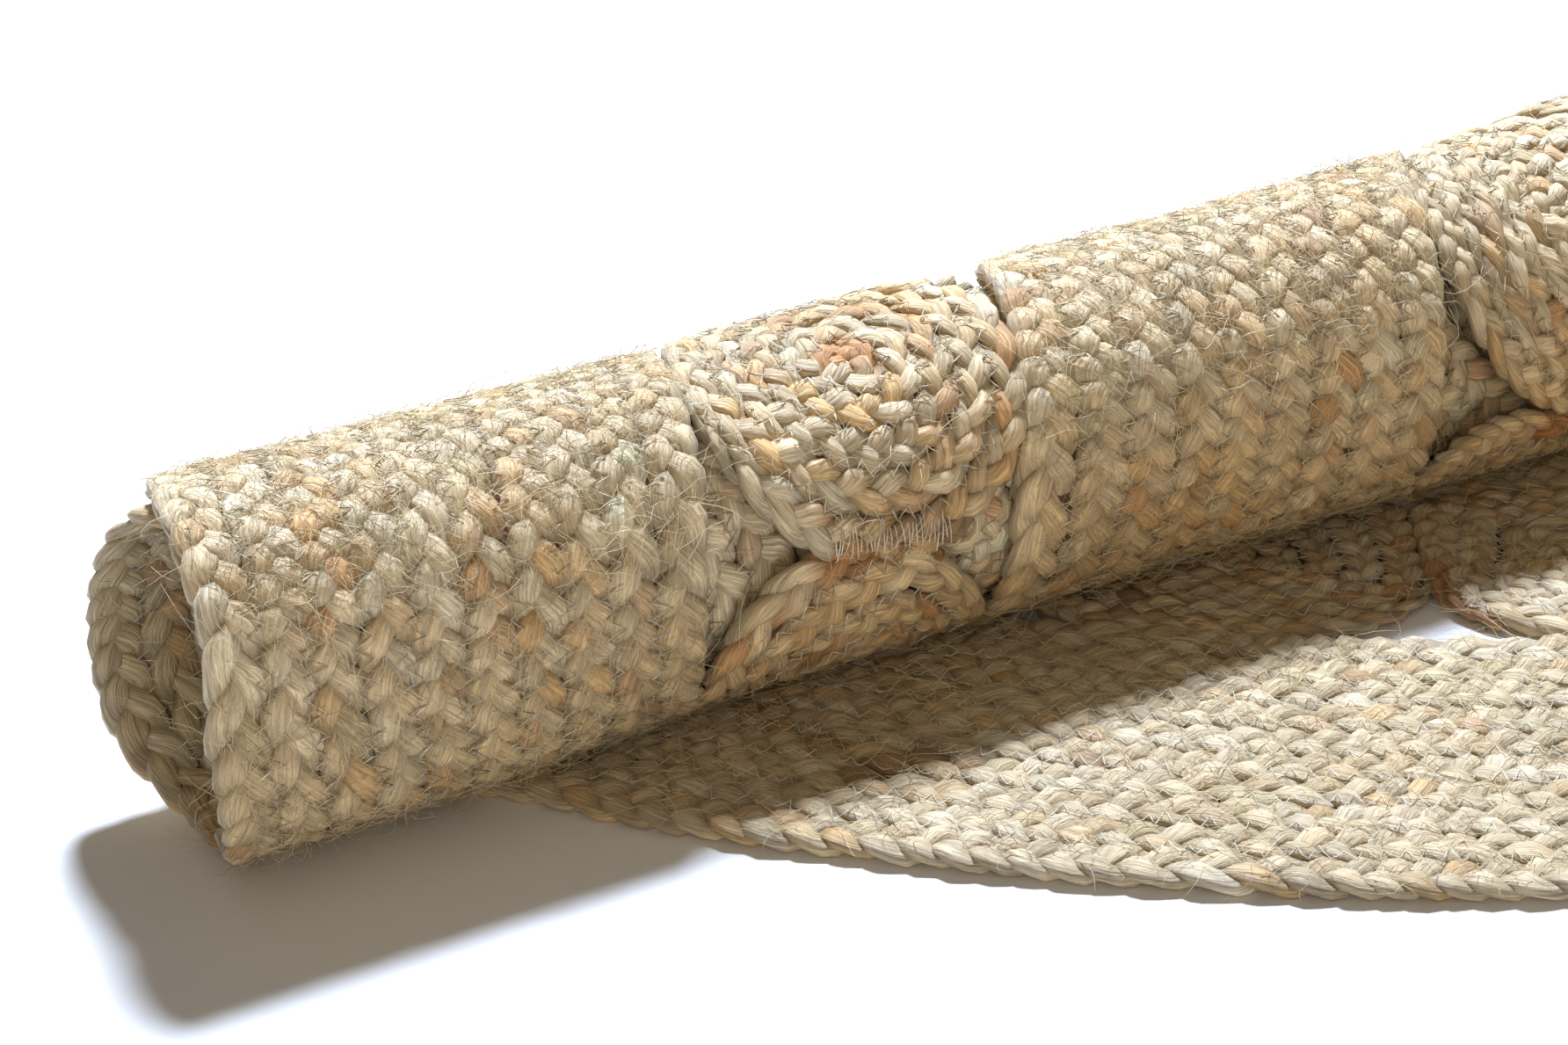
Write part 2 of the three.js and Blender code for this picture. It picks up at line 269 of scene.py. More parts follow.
def make_floor(reach):
    mesh = bpy.data.meshes.new("floor")
    signs = ((-1, -1), (1, -1), (1, 1), (-1, 1))
    corners = [(x * reach, y * reach, FLOOR_Z) for x, y in signs]
    mesh.from_pydata(corners, [], [(0, 1, 2, 3)])
    floor = bpy.data.objects.new("floor", mesh)
    material = bpy.data.materials.new("floor")
    material.use_nodes = True
    shader = material.node_tree.nodes["Principled BSDF"]
    shader.inputs["Base Color"].default_value = (0.86, 0.86, 0.86, 1)
    shader.inputs["Roughness"].default_value = 0.9
    mesh.materials.append(material)
    bpy.context.scene.collection.objects.link(floor)


make_camera()
bpy.context.scene.view_settings.view_transform = "Standard"
make_world(strength=0.17, colour=(1, 0.89, 0.74))
# A small cool key from behind casts the roll's shadow; a wide warm fill comes from the left front.
make_area_light(
    "key", azimuth=160, elevation=57, size=0.5, power=200, colour=(0.88, 1.0, 1.21)
)
make_area_light(
    "fill", azimuth=-45, elevation=22, size=1.6, power=14.5, colour=(1.06, 0.93, 0.75)
)
make_floor(reach=6)


# ---- Colours of jute ----------------------------------------------------------------------

CREASE_SHADE = 0.7  # painted shade in the creases where the strands meet: the jute's colour there, as a share
CREASE_LEVEL, CREASE_BLEND = 0.25, 0.6  # as shares of the way from the sheet's middle to its face
UPPER_PAINTED_SHADE, LOWER_PAINTED_LIGHT = 0.92, 1.25  # painted shade on the upper face, painted light on the lower one (the roll's outside)
LOW_SHADE_START, LOW_SHADE_BLEND = 0.18, 0.05  # painted shade, darker and warmer, low on the roll's outside: along the sheet, from the roll's floor line
# Colour factor of that painted shade
LOW_SHADE_TINT = np.array([0.80, 0.71, 0.57])

# A strand is dyed in runs: their mean length, and the shortest as a share of it.
DYE_RUN, SHORTEST_RUN = 0.03, 0.35
SPARE_RUNS, LEAST_RUNS = 1.6, 8  # more runs are drawn than a strand needs
DYE_STRENGTHS, DYE_POWER = (0.1, 0.9), 1.3  # how far a run's dye hides the plain straw
DYE_LIGHTNESS, LIGHTNESS_LIMITS = 0.07, (0.8, 1.2)
RUN_BLEND = 0.2  # share of a run, at each end, in which it blends into the next


def linear(*srgb):
    c = np.array(srgb, float) / 255
    return np.where(c <= 0.04045, c / 12.92, ((c + 0.055) / 1.055) ** 2.4)


STRAW = linear(224, 202, 163)
TIP_COLOUR = linear(198, 136, 76)
DYES = {
    "straw": STRAW,
    "pale": linear(238, 222, 190),
    "golden": linear(218, 176, 116),
    "green": linear(212, 192, 144),
    "orange": linear(206, 150, 88),
    "brown": linear(158, 116, 72),
}
# Share of the runs that have each of the dyes above.
BORDER_DYES = (0.46, 0.22, 0.16, 0.10, 0.04, 0.02)
ROSETTE_DYES = (0.28, 0.14, 0.34, 0.04, 0.15, 0.05)
BAND_DYES = (0.28, 0.13, 0.40, 0.03, 0.11, 0.05)
CENTRE_DYES = (0.46, 0.16, 0.24, 0.06, 0.06, 0.02)


def strand_colours(along, dyes, rng):
    """Colour at each place along a strand: runs of one dye each, that blend into each other."""
    runs = int(along[-1] / DYE_RUN * SPARE_RUNS) + LEAST_RUNS
    lengths = DYE_RUN * (SHORTEST_RUN + rng.exponential(1 - SHORTEST_RUN, runs))
    starts = np.concatenate([[0], np.cumsum(lengths)[:-1]])
    shares = np.array(dyes)
    picked = rng.choice(len(DYES), runs, p=shares / shares.sum())
    colours = np.array(list(DYES.values()))[picked]
    strength = rng.uniform(*DYE_STRENGTHS, (runs, 1)) ** DYE_POWER
    lightness = rng.normal(1, DYE_LIGHTNESS, (runs, 1)).clip(*LIGHTNESS_LIMITS)
    colours = (STRAW * (1 - strength) + colours * strength) * lightness
    places = [starts + RUN_BLEND * lengths, starts + (1 - RUN_BLEND) * lengths]
    places = np.stack(places, 1).ravel()
    twice = np.repeat(colours, 2, axis=0)
    return np.stack([np.interp(along, places, twice[:, i]) for i in range(3)], 1)


# ---- Materials ----------------------------------------------------------------------------

# Patterns of combed jute: repeats per metre along and across a strand, and how far they lean.
FINE_FIBRES = (110, 1900, 0.25)
BROAD_FIBRES = (45, 620, 0.18)
PATCHES = (60, 60, 0.0)
FIBRE_CONTRAST = 0.5
JUTE_ROUGHNESS = 0.56
JUTE_LEVELS = (0.3, 0.7)  # the part of a noise that is stretched over its whole effect
THREAD_LEVELS = (0.35, 0.65)


def noise_node(tree, vector, scale, detail, roughness=0.6):
    noise = tree.nodes.new("ShaderNodeTexNoise")
    noise.inputs["Scale"].default_value = scale
    noise.inputs["Detail"].default_value = detail
    noise.inputs["Roughness"].default_value = roughness
    tree.links.new(vector, noise.inputs["Vector"])
    return noise.outputs["Fac"]


def map_range(tree, value, levels, to_low, to_high):
    node = tree.nodes.new("ShaderNodeMapRange")
    names = ("From Min", "From Max", "To Min", "To Max")
    for name, number in zip(names, (*levels, to_low, to_high)):
        node.inputs[name].default_value = number
    tree.links.new(value, node.inputs["Value"])
    return node.outputs["Result"]


def maths(tree, operation, a, b):
    node = tree.nodes.new("ShaderNodeMath")
    node.operation = operation
    for socket, value in zip(node.inputs, (a, b)):
        if isinstance(value, (int, float)):
            socket.default_value = value
        else:
            tree.links.new(value, socket)
    return node.outputs[0]


def stretched(tree, vector, along, across, lean):
    """The strand's own coordinates, stretched so that a pattern runs along its fibres."""
    split = tree.nodes.new("ShaderNodeSeparateXYZ")
    tree.links.new(vector, split.inputs[0])
    join = tree.nodes.new("ShaderNodeCombineXYZ")
    leaning = maths(tree, "MULTIPLY", split.outputs["X"], lean)
    leaned = maths(tree, "ADD", split.outputs["Y"], leaning)
    tree.links.new(maths(tree, "MULTIPLY", split.outputs["X"], along), join.inputs["X"])
    tree.links.new(maths(tree, "MULTIPLY", leaned, across), join.inputs["Y"])
    return join.outputs[0]


def new_material(name):
    """A material, its node tree and its shader."""
    material = bpy.data.materials.new(name)
    material.use_nodes = True
    tree = material.node_tree
    return material, tree, tree.nodes["Principled BSDF"]


def jute_material(name):
    """Combed jute: the strand's dye, streaked by fine fibres that run along it."""
    material, tree, shader = new_material(name)
    links = tree.links
    place = tree.nodes.new("ShaderNodeUVMap")
    place.uv_map = "strand"
    strand = place.outputs[0]
    fine = noise_node(tree, stretched(tree, strand, *FINE_FIBRES), 1.0, 4.0, 0.7)
    broad = noise_node(tree, stretched(tree, strand, *BROAD_FIBRES), 1.0, 2.0)
    patch = noise_node(tree, stretched(tree, strand, *PATCHES), 1.0, 2.0)

    dye = tree.nodes.new("ShaderNodeVertexColor")
    dye.layer_name = "dye"
    brightest = 1 + FIBRE_CONTRAST * 0.75
    fine_light = map_range(tree, fine, JUTE_LEVELS, 1 - FIBRE_CONTRAST, brightest)
    broad_light = map_range(tree, broad, JUTE_LEVELS, 0.8, 1.16)
    patch_light = map_range(tree, patch, JUTE_LEVELS, 0.9, 1.08)
    streaks = maths(tree, "MULTIPLY", fine_light, broad_light)
    light = maths(tree, "MULTIPLY", streaks, patch_light)
    scale = tree.nodes.new("ShaderNodeVectorMath")
    scale.operation = "SCALE"
    links.new(dye.outputs["Color"], scale.inputs[0])
    links.new(light, scale.inputs["Scale"])
    links.new(scale.outputs[0], shader.inputs["Base Color"])

    dull, glossy = JUTE_ROUGHNESS + 0.14, JUTE_ROUGHNESS - 0.12
    links.new(map_range(tree, fine, JUTE_LEVELS, dull, glossy), shader.inputs["Roughness"])
    height = maths(tree, "ADD", fine, maths(tree, "MULTIPLY", broad, 1.4))
    bump = tree.nodes.new("ShaderNodeBump")
    bump.inputs["Strength"].default_value = 0.95
    bump.inputs["Distance"].default_value = 0.0009
    links.new(height, bump.inputs["Height"])
    links.new(bump.outputs[0], shader.inputs["Normal"])
    shader.inputs["Specular IOR Level"].default_value = 0.5
    shader.inputs["Sheen Weight"].default_value = 0.06
    shader.inputs["Sheen Roughness"].default_value = 0.4
    return material


def plain_fibre_material(name, colour, roughness, grain):
    """Thread or loose fibre: one colour, made uneven by a grain of the given scale."""
    material, tree, shader = new_material(name)
    links = tree.links
    place = tree.nodes.new("ShaderNodeTexCoord")
    spots = noise_node(tree, place.outputs["Object"], grain, 2.0)
    base = tree.nodes.new("ShaderNodeMix")
    base.data_type = "RGBA"
    base.inputs["A"].default_value = (*(colour * 0.62), 1)
    base.inputs["B"].default_value = (*np.minimum(colour * 1.18, 1), 1)
    links.new(map_range(tree, spots, THREAD_LEVELS, 0, 1), base.inputs["Factor"])
    links.new(base.outputs["Result"], shader.inputs["Base Color"])
    uneven = map_range(tree, spots, THREAD_LEVELS, roughness + 0.1, roughness - 0.1)
    links.new(uneven, shader.inputs["Roughness"])
    shader.inputs["Specular IOR Level"].default_value = 0.4
    return material


JUTE = jute_material("combed_jute")
# The packed jute inside the plaits; its dark brown is painted shade for the gaps between strands
CORE = plain_fibre_material("packed_jute_painted_shade", linear(112, 88, 60), 0.9, 900)
THREAD = plain_fibre_material("sewing_thread", linear(236, 232, 216), 0.3, 300)
SOFT_THREAD = plain_fibre_material("sewing_thread_soft", linear(230, 222, 196), 0.3, 300)
# Painted shade: a darker copy of the pale thread, for stitches that sit in shade on the roll's
# outside
PAINTED_SHADE_THREAD = plain_fibre_material("sewing_thread_painted_shade", linear(168, 148, 112), 0.35, 300)
FIBRE = plain_fibre_material("loose_jute", linear(226, 206, 164), 0.45, 60)


# ---- From the flat rug to the partly rolled one --------------------------------------------


def smooth(t):
    t = np.clip(t, 0, 1)
    return t * t * (3 - 2 * t)


def turns_wound(angle):
    """How many times the sheet's thickness the roll has shrunk by, at an angle of roll."""
    before = angle - (STEP_END - 2 * math.pi)
    turn = np.floor(before / (2 * math.pi))
    into = before - turn * 2 * math.pi
    lead = STEP_START - (STEP_END - 2 * math.pi)
    stepped = turn + smooth((into - lead) / (STEP_END - STEP_START))
    return STEP_SHARE * stepped + (1 - STEP_SHARE) * angle / (2 * math.pi)


def running_length(steps):
    return np.concatenate([[0], np.cumsum(steps)])


ROLL_ANGLES = np.linspace(0, MOST_TURNS * 2 * math.pi, ROLL_SAMPLES)
ROLL_RADII = ROLL_RADIUS - (THICKNESS + TURN_GAP) * turns_wound(ROLL_ANGLES)
ROLL_RADII = np.maximum(ROLL_RADII, CORE_RADIUS / 2)
ROLL_LENGTHS = running_length((ROLL_RADII[1:] + ROLL_RADII[:-1]) / 2 * np.diff(ROLL_ANGLES))
FIRST_TURN = float(np.interp(2 * math.pi, ROLL_ANGLES, ROLL_LENGTHS))


def pull_band(x, forward):
    """The band was sewn wider toward one side, where it pushes the inner rosettes inward."""
    rho, azimuth = np.hypot(x, forward), np.arctan2(forward, x)
    off = np.mod(azimuth - BULGE_AZIMUTH + math.pi, 2 * math.pi) - math.pi
    inward = (rho - CENTRE_RADIUS) / (BAND_INNER - CENTRE_RADIUS)
    outward = (BAND_OUTER - rho) / (BAND_OUTER - BAND_INNER)
    share = np.maximum(np.minimum(inward, outward), 0)
    pulled = rho - BULGE * np.exp(-((off / BULGE_SPREAD) ** 2)) * share
    return pulled * np.cos(azimuth), pulled * np.sin(azimuth)


def near(value, place, reach):
    """1 at the place, falling smoothly to 0 at the given reach from it."""
    return smooth(1 - np.abs(value - place) / reach)


def carry(flat, lift=0.0):
    """Flat places (across, forward, above the sheet's middle) to places in the rolled rug.

    lift moves a piece outward where it lies on the outer face of the roll's outermost turn.
    """
    x, forward = pull_band(flat[..., 0], flat[..., 1])
    above = flat[..., 2]
    s = forward + CENTRE_OFFSET
    wound = np.maximum(s, 0)
    angle = np.interp(wound, ROLL_LENGTHS, ROLL_ANGLES)
    outer = smooth((s - LIFT_START) / LIFT_BLEND)
    outer = outer * (1 - smooth((s - FIRST_TURN + LIFT_LEAD) / LIFT_FADE))
    radius = np.interp(wound, ROLL_LENGTHS, ROLL_RADII) - above + lift * outer
    wave = WAVE_HEIGHT * np.sin(x * WAVE_RATE + WAVE_START)
    radius = radius + wave * np.sin(angle + x * WAVE_TWIST)
    high = near(x, HUMP_PLACE, HUMP_REACH) * near(angle, HUMP_ANGLE, HUMP_TURN)
    radius = radius + HUMP_HEIGHT * high
    deep = near(x, DENT_PLACE, DENT_REACH) * smooth((angle - 2 * math.pi) / DENT_RAMP)
    deep = deep * near(np.mod(angle, 2 * math.pi), DENT_ANGLE, DENT_TURN)
    radius = radius - DENT_DEPTH * deep
    flared = smooth((FLARE_PLACE - x) / FLARE_BLEND) * near(angle, FLARE_ANGLE, FLARE_TURN)
    radius = radius + FLARE * flared
    inner = smooth((s - FIRST_TURN + DRAW_LEAD) / DRAW_BLEND)
    drawn = INNER_DRAW + FOOT_DRAW * np.exp(-(((angle - 2 * math.pi) / FOOT_TURN) ** 2))
    spread = OUTER_SPREAD * smooth((s - SPREAD_START) / SPREAD_BLEND)
    breadth = 1 + spread * (1 - inner) - drawn * inner
    y = FLOOR_LINE + np.where(s > 0, radius * np.sin(angle), s)
    z = np.where(s > 0, AXIS_Z - radius * np.cos(angle), FLOOR_Z + THICKNESS / 2 + above)
    return np.stack([x * breadth, y, np.clip(z, FLOOR_Z, CEILING_Z)], -1)


# ---- Coils on the flat rug ----------------------------------------------------------------


def wobble(rng, along, wavelength, size):
    """A smooth random curve of the given size."""
    total = np.zeros_like(along)
    for _ in range(4):
        wave = wavelength * (0.6 + 0.9 * rng.random())
        turn = 2 * math.pi * (along / wave + rng.random())
        total += np.sin(turn) * (0.7 + 0.6 * rng.random())
    return size * total / 2


def along_line(points):
    """Length along a flat line at each of its points."""
    return running_length(np.hypot(*np.diff(points, axis=0).T))


def at(places, along, points):
    """Points of a flat line at the given lengths along it."""
    return np.stack([np.interp(places, along, points[:, i]) for i in (0, 1)], 1)


def course(points):
    """Unit directions along a flat line, and square to it."""
    tangent = np.gradient(points, axis=0)
    tangent /= np.linalg.norm(tangent, axis=1)[:, None].clip(1e-9)
    return tangent, np.stack([-tangent[:, 1], tangent[:, 0]], 1)


class Coil:
    """The middle line of a plait that is wound turn upon turn, on the flat rug.

    It starts at an angle and is wound counter-clockwise (way 1) or clockwise (-1). A coil with an
    outline is a rosette: its middle is ring_radius from the rug's, at the angle ring_angle.
    """

    def __init__(
        self, inner, width, turns, jog, start, way, rng,
        ring_radius=0.0, ring_angle=0.0, outline=None, period=PLAIT_PERIOD,
    ):
        self.width, self.turns, self.period = width, turns, width * period
        self.ring_radius, self.ring_angle, self.outline = ring_radius, ring_angle, outline
        u = np.linspace(-jog, turns, COIL_SAMPLES * turns + JOG_SAMPLES)
        k = np.clip(np.floor(u), 0, turns - 1)
        shift = np.where(k < turns - 1, smooth((u - k - 1 + jog) / jog), 0)
        radius = inner + width * (0.5 + k + np.where(u < 0, 0, shift))
        first, last = smooth((u + jog) / jog), smooth((turns - u) / jog)
        radius = np.where(u < 0, inner + width * 0.5 * first, radius)
        radius = np.where(u > turns - jog, inner + width * (turns - 0.5 * last), radius)
        size = END_SIZE + (1 - END_SIZE) * np.minimum(first, last)
        angle = start + way * 2 * math.pi * u
        middle, stretch = self.place(radius, angle)
        seam, _ = self.place(radius + width / 2, angle)

        along = along_line(middle)
        self.length = along[-1]
        rings = max(int(self.length / self.period * RINGS_PER_PERIOD), 8)
        self.along = np.linspace(0, self.length, rings)
        self.u = np.interp(self.along, along, u)
        self.size = np.interp(self.along, along, size * stretch)
        self.points = at(self.along, along, middle)
        self.seam = at(self.along, along, seam)
        wavelength, share = SIDE_DRIFT
        drift = wobble(rng, self.along, wavelength, share * width)
        self.points = self.points + drift[:, None] * course(self.points)[1]
        self.outward = -way

    def place(self, radius, angle):
        """Points at these radii and angles of the coil, and how far its outline stretches it."""
        if self.outline is None:
            return np.stack([radius * np.cos(angle), radius * np.sin(angle)], 1), 1.0
        full = self.width * self.turns
        stretch = 1 + (self.outline(angle) / full - 1) * (radius / full).clip(0, 1)
        x = self.ring_radius + radius * stretch * np.cos(angle)
        y = radius * stretch * np.sin(angle)
        c, s = math.cos(self.ring_angle), math.sin(self.ring_angle)
        return np.stack([x * c - y * s, x * s + y * c], 1), stretch


def rosette_outline(ring_radius, depth, share, pressed):
    """How far the squashed oval reaches from its own middle, by angle."""
    outer = ring_radius > BAND_OUTER
    half_depth = depth / 2
    half_width = ring_radius * math.tan(share / 2) * (OUTER_CROWDING if outer else INNER_CROWDING)
    t = np.linspace(0, 2 * math.pi, OUTLINE_POINTS)
    squareness = np.full(len(t), OUTER_SQUARENESS if outer else INNER_SQUARENESS)
    for outward, side in pressed:
        squareness[(np.sin(t) * side > 0) & (np.cos(t) * outward >= 0)] = PRESSED_SQUARENESS
    power = 2 / squareness
    x = np.sign(np.cos(t)) * np.abs(np.cos(t)) ** power * half_depth
    y = np.sign(np.sin(t)) * np.abs(np.sin(t)) ** power * half_width
    most = (ring_radius + x) * math.tan(share / 2) - SEAM_GAP / 2
    y = np.clip(y, -most, most)
    angle, reach = np.unwrap(np.arctan2(y, x)), np.hypot(x, y)
    return lambda a: np.interp(np.mod(a, 2 * math.pi), angle, reach)


# ---- Meshes -------------------------------------------------------------------------------

ROW_MARGIN, ROW_SPARE = 0.04, 1.1  # of a strand's row in the baked picture
STRAND_GAP = 0.01  # between two strands in the strands' own coordinates


def across_and_up(line):
    """Directions across and above a line on the flat rug, square to it."""
    tangent = np.gradient(line, axis=0)
    tangent = tangent / np.linalg.norm(tangent, axis=1)[:, None].clip(1e-9)
    wide = np.stack([-tangent[:, 1], tangent[:, 0], np.zeros(len(line))], 1)
    wide = wide / np.linalg.norm(wide, axis=1)[:, None].clip(1e-9)
    return wide, np.cross(tangent, wide)


def face_shade(places):
    """The jute colour's factor: painted shade in creases and low on the roll's outside; painted
    light and shade by face.
    """
    above, s = places[..., 2], places[..., 1] + CENTRE_OFFSET
    level = np.abs(above) / (THICKNESS / 2)
    # Painted shade in the creases, where the strands meet
    shade = CREASE_SHADE + (1 - CREASE_SHADE) * smooth((level - CREASE_LEVEL) / CREASE_BLEND)
    # Painted shade on the upper face, painted light on the lower one
    shade = shade * np.where(above > 0, UPPER_PAINTED_SHADE, LOWER_PAINTED_LIGHT)
    # Painted shade, darker and warmer, low on the roll's outside
    near_floor = smooth((s - LOW_SHADE_START) / LOW_SHADE_BLEND)
    near_floor = near_floor * smooth((FIRST_TURN + LOW_SHADE_BLEND - s) / LOW_SHADE_BLEND)
    painted_low_shade = (near_floor * (above < 0))[..., None]
    return shade[..., None] * (1 - painted_low_shade * (1 - LOW_SHADE_TINT))


class Tubes:
    """Closed tubes on the flat rug, gathered into one mesh."""

    def __init__(self, sides=RING_POINTS, lift=0.0, squareness=1.0):
        self.sides, self.lift = sides, lift
        turn = 2 * math.pi * (np.arange(sides) + 0.5) / sides
        self.ring = [np.sign(f) * np.abs(f) ** squareness for f in (np.cos(turn), np.sin(turn))]
        self.points, self.colours, self.quads, self.caps = [], [], [], []
        self.strand_uv, self.bake_rows = [], []
        self.count, self.travelled, self.around = 0, 0.0, 0.0

    def add(self, line, half_width, half_height):
        """A plain tube, for a thread or a fibre."""
        self.add_strand(line, half_width, half_height, 1.0)

    def add_strand(self, line, half_width, half_height, swell, colour=None, along=None):
        """A tube whose rings swell unevenly; a strand of jute also has its colour and length."""
        n, m = len(line), self.sides
        wide, high = across_and_up(line)
        across, above = self.ring
        ring = (
            wide[:, None] * (half_width[:, None] * across * swell)[..., None]
            + high[:, None] * (half_height[:, None] * above * swell)[..., None]
        )
        rings = line[:, None] + ring
        self.add_rings(rings)
        if colour is None:
            return
        # The dye, with the painted shade and light of face_shade
        self.colours.append((colour[:, None] * face_shade(rings)).reshape(-1, 3))
        i, j = np.meshgrid(np.arange(n - 1), np.arange(m), indexing="ij")
        around = float(np.mean(half_width + half_height)) * math.pi
        a0, a1 = along[i] + self.travelled, along[i + 1] + self.travelled
        v0, v1 = j / m * around, (j + 1) / m * around
        uv = np.stack([a0, v0, a0, v1, a1, v1, a1, v0], -1)
        self.strand_uv.append(uv.reshape(-1, 2))
        self.bake_rows.append(np.stack([a0, a1, j / m, (j + 1) / m], -1).reshape(-1, 4))
        self.travelled += along[-1] + STRAND_GAP
        self.around = around

    def add_rings(self, rings):
        """Joins rings of points into one closed tube."""
        n, m = rings.shape[:2]
        self.points.append(rings.reshape(-1, 3))
        i, j = np.meshgrid(np.arange(n - 1), np.arange(m), indexing="ij")
        after = (j + 1) % m
        corners = np.stack([i * m + j, i * m + after, (i + 1) * m + after, (i + 1) * m + j], -1)
        self.quads.append(corners.reshape(-1, 4) + self.count)
        self.caps.append(self.count + np.arange(m)[::-1])
        self.caps.append(self.count + (n - 1) * m + np.arange(m))
        self.count += n * m

    def bake_map(self):
        """Lays the strands out in rows, so that a baked picture has room for every one."""
        faces = np.concatenate(self.bake_rows)
        rows = max(1, math.ceil(math.sqrt(self.travelled / (self.around * ROW_SPARE))))
        length = self.travelled / rows
        row = np.floor(faces[:, 0] / length)
        longest = float((faces[:, 1] - faces[:, 0]).max())
        u0 = (faces[:, 0] - row * length) / (length + longest)
        u1 = (faces[:, 1] - row * length) / (length + longest)
        v0, v1 = [
            (row + ROW_MARGIN + (1 - 2 * ROW_MARGIN) * faces[:, i]) / rows for i in (2, 3)
        ]
        return np.stack([u0, v0, u0, v1, u1, v1, u1, v0], -1).reshape(-1, 2)

    def build(self, name, material):
        points = carry(np.concatenate(self.points), self.lift)
        quads, caps = np.concatenate(self.quads), np.array(self.caps)
        mesh = bpy.data.meshes.new(name)
        mesh.vertices.add(len(points))
        mesh.vertices.foreach_set("co", points.astype(np.float32).ravel())
        loops = np.concatenate([quads.ravel(), caps.ravel()]).astype(np.int32)
        sizes = np.concatenate([np.full(len(quads), 4), np.full(len(caps), self.sides)])
        mesh.loops.add(len(loops))
        mesh.loops.foreach_set("vertex_index", loops)
        mesh.polygons.add(len(sizes))
        starts = np.concatenate([[0], np.cumsum(sizes)[:-1]])
        mesh.polygons.foreach_set("loop_start", starts.astype(np.int32))
        mesh.polygons.foreach_set("use_smooth", np.ones(len(sizes), bool))
        if self.colours:
            spare = np.zeros((len(caps) * self.sides, 2))
            maps = {"strand": np.concatenate(self.strand_uv), "OFBake": self.bake_map()}
            for title, uv in maps.items():
                layer = mesh.uv_layers.new(name=title)
                uv = np.concatenate([uv, spare]).astype(np.float32)
                layer.uv.foreach_set("vector", uv.ravel())
            dye = mesh.attributes.new("dye", "FLOAT_COLOR", "POINT")
            rgb = np.concatenate(self.colours).clip(0, 1)
            rgba = np.concatenate([rgb, np.ones((len(rgb), 1))], 1)
            dye.data.foreach_set("color", rgba.astype(np.float32).ravel())
        mesh.update(calc_edges=True)
        mesh.validate()
        mesh.materials.append(material)
        piece = bpy.data.objects.new(name, mesh)
        bpy.context.scene.collection.objects.link(piece)
        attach(piece, "root")
        return piece


class Plait:
    """Three strands that cross over and under each other along a coil.

    heart and tip are the lengths of the orange stretches at its start and its end.
    """

    def __init__(self, coil, dyes, rng, heart=0.0, tip=0.0):
        self.along = coil.along
        at_heart = 1 - smooth((coil.along - heart) / TIP_BLEND)
        at_tip = smooth((coil.along - coil.length + tip) / TIP_BLEND)
        dipped = np.maximum(at_heart, at_tip)
        dipped = TIP_STRENGTH * dipped[:, None] * (heart + tip > 0)
        slip = wobble(rng, coil.along, *CROSSING_SLIP)
        phase = 2 * math.pi * (coil.along / coil.period + slip) + rng.random() * 6
        sideways = course(coil.points)[1]
        width = coil.width * coil.size
        thin = np.sqrt(coil.size.clip(0, 1))
        self.strands = []
        for k in range(3):
            t = phase + 2 * math.pi * k / 3
            uneven = 1 + wobble(rng, coil.along, *SWING_WOBBLE)
            swing = STRAND_SWING * width * np.sin(t) * uneven
            rise = STRAND_RISE * THICKNESS * np.sin(2 * t) * thin
            rise = rise + wobble(rng, coil.along, *RISE_WOBBLE)
            line = np.concatenate([coil.points + sideways * swing[:, None], rise[:, None]], 1)
            on_top = np.sin(2 * t) ** 2
            fat = 1 + wobble(rng, coil.along, *FATNESS)
            half_width = STRAND_HALF_WIDTH * width * (WIDTH_BELOW + WIDTH_ON_TOP * on_top) * fat
            high = HEIGHT_BELOW + HEIGHT_ON_TOP * on_top
            half_height = STRAND_HALF_HEIGHT * THICKNESS * high * thin * fat
            ridges = [wobble(rng, coil.along, *RIDGES) for _ in range(RING_POINTS)]
            swell = 1 + np.stack(ridges, 1)
            colour = strand_colours(coil.along, dyes, rng)
            colour = colour * (1 - dipped) + TIP_COLOUR * dipped
            self.strands.append((line, half_width, half_height, swell, colour))

    def add_to(self, tubes, chosen=slice(None)):
        along = self.along[chosen] - self.along[chosen][0]
        for strand in self.strands:
            tubes.add_strand(*(part[chosen] for part in strand), along)


def make_core(name, coil, lift=0.0):
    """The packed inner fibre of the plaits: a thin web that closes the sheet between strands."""
    tubes = Tubes(sides=4, lift=lift)
    line = np.concatenate([coil.points, np.zeros((len(coil.points), 1))], 1)
    wide, _ = across_and_up(line)
    wide = wide * coil.outward
    full = coil.width * coil.size
    outer = np.where(coil.u > coil.turns - OUTER_RIM, RIM_REACH, CORE_REACH) * full
    inner = np.where(coil.u < INNER_RIM, RIM_REACH, CORE_REACH) * full
    up = np.array([0, 0, CORE_THICKNESS / 2])
    corners = [line - wide * inner[:, None] - up, line + wide * outer[:, None] - up]
    corners += [line + wide * outer[:, None] + up, line - wide * inner[:, None] + up]
    if coil.outward < 0:
        corners.reverse()
    tubes.add_rings(np.stack(corners, 1))
    web = tubes.build(name, CORE)


# ---- Sewing -------------------------------------------------------------------------------


